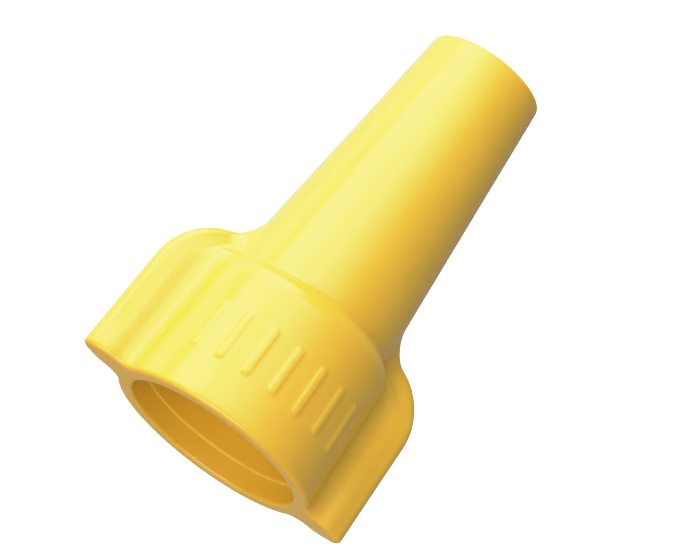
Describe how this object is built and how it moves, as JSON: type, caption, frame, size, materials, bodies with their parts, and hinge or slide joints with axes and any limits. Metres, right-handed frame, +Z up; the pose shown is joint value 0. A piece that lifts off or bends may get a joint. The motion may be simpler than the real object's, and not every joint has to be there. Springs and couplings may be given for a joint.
{
  "type": "twist wire connector",
  "caption": "Winged twist-on wire connector: a tapered one-piece plastic shell with two grip wings, lined with a conical square-wire spring that bites twisted wire ends.",
  "frame": {"origin": "centre of the mouth's rim, in the plane of the rim, so the connector stands mouth down on z = 0", "axes": "+Z up the connector's axis from the mouth to the closed end of the crown; the wings lie along +X and -X; -Y is the side that faces the viewer"},
  "size_m": [0.019, 0.0136, 0.0284],
  "materials": {
    "shell_plastic": "gloss",
    "spring_steel": "zinc-plated"
  },
  "bodies": {
    "root": {"shell": "shell_plastic", "spring": "spring_steel"}
  },
  "joints": []
}
